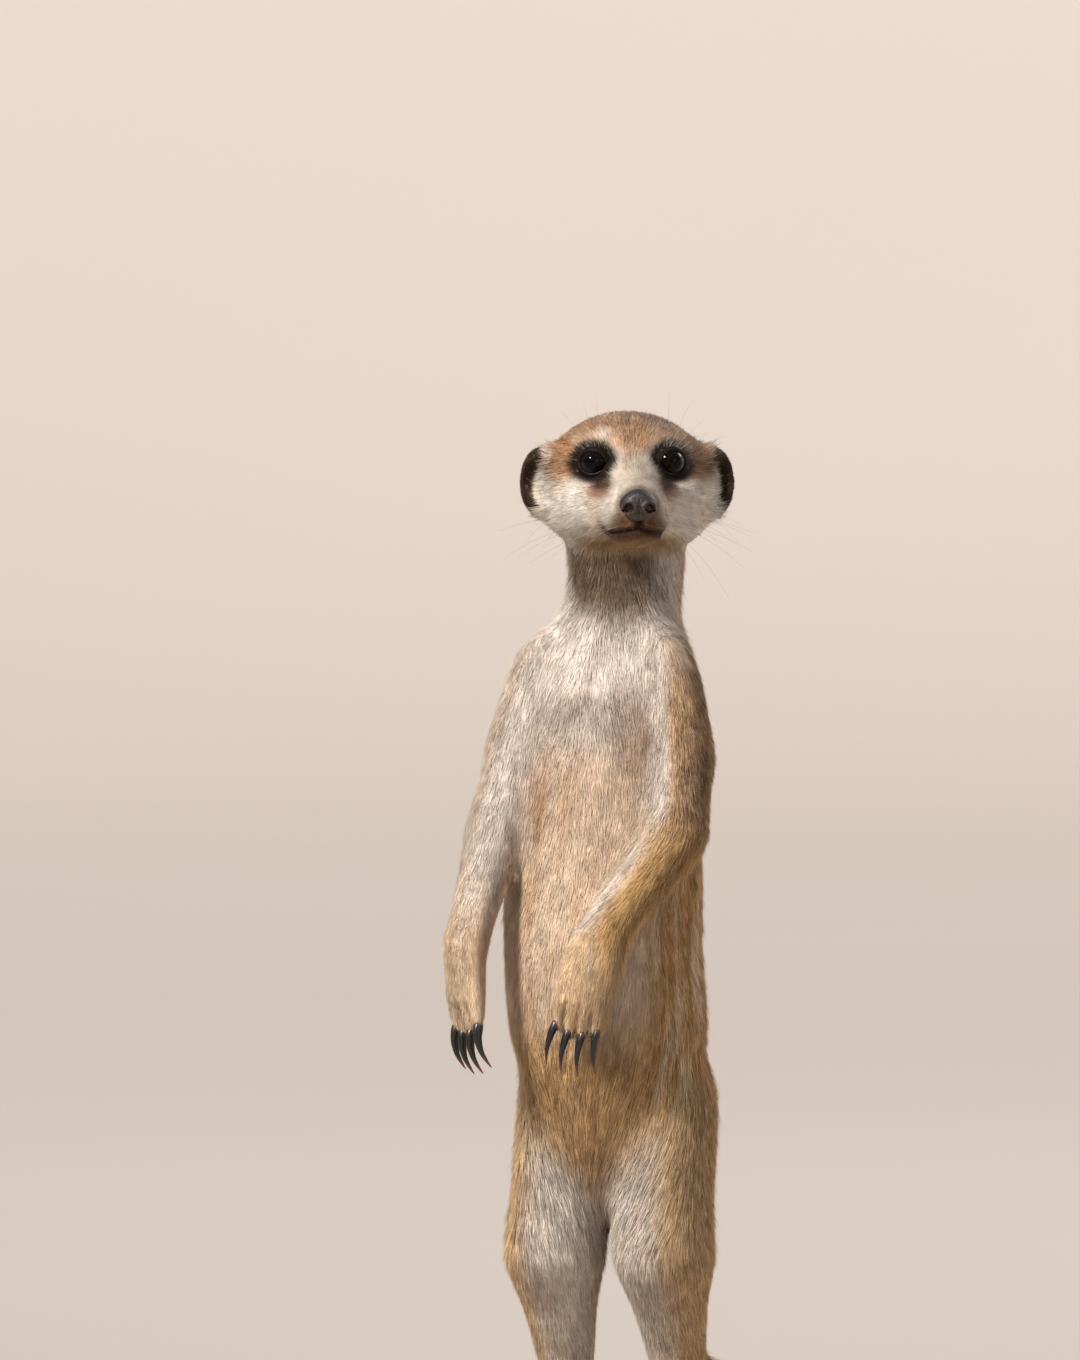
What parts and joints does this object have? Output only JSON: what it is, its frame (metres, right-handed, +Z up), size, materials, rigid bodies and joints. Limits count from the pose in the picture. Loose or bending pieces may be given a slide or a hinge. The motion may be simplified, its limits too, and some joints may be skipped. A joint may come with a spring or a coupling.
{
  "type": "meerkat life-size model",
  "caption": "Still, life-size meerkat on the look-out: upright on its hind feet and tail, arms hanging, head turned to its left.",
  "frame": {"origin": "on the floor under the middle of the animal's bounding box", "axes": "+Z up, the trunk faces -Y, the animal's left is +X, the tail trails towards +Y"},
  "size_m": [0.081, 0.2516, 0.3088],
  "materials": {
    "coat_tan": "grizzled golden-brown hair lying flat",
    "coat_pale": "pale grey-cream hair lying flat",
    "coat_dark": "dark brown short hair",
    "eye_wet": "dark brown iris under a wet clear cornea",
    "nose_skin": "bare dark grey skin, finely pebbled, moist",
    "claw_horn": "black horn, reddish brown towards the tip, satin"
  },
  "bodies": {
    "root": {"head": "coat_tan", "nose": "nose_skin", "eye_left": "eye_wet", "ear_left": "coat_dark", "eye_right": "eye_wet", "ear_right": "coat_dark", "neck": "coat_pale", "trunk_upper": "coat_pale", "trunk_lower": "coat_tan", "upper_arm_left": "coat_tan", "forearm_left": "coat_tan", "hand_left": "coat_tan", "claw_hand_left_1": "claw_horn", "claw_hand_left_2": "claw_horn", "claw_hand_left_3": "claw_horn", "claw_hand_left_4": "claw_horn", "thigh_left": "coat_tan", "shank_left": "coat_pale", "foot_left": "coat_pale", "claw_foot_left_1": "claw_horn", "claw_foot_left_2": "claw_horn", "claw_foot_left_3": "claw_horn", "claw_foot_left_4": "claw_horn", "upper_arm_right": "coat_tan", "forearm_right": "coat_tan", "hand_right": "coat_tan", "claw_hand_right_1": "claw_horn", "claw_hand_right_2": "claw_horn", "claw_hand_right_3": "claw_horn", "claw_hand_right_4": "claw_horn", "thigh_right": "coat_tan", "shank_right": "coat_pale", "foot_right": "coat_pale", "claw_foot_right_1": "claw_horn", "claw_foot_right_2": "claw_horn", "claw_foot_right_3": "claw_horn", "claw_foot_right_4": "claw_horn", "tail_base": "coat_tan", "tail_middle": "coat_tan", "tail_tip": "coat_dark"}
  },
  "joints": []
}
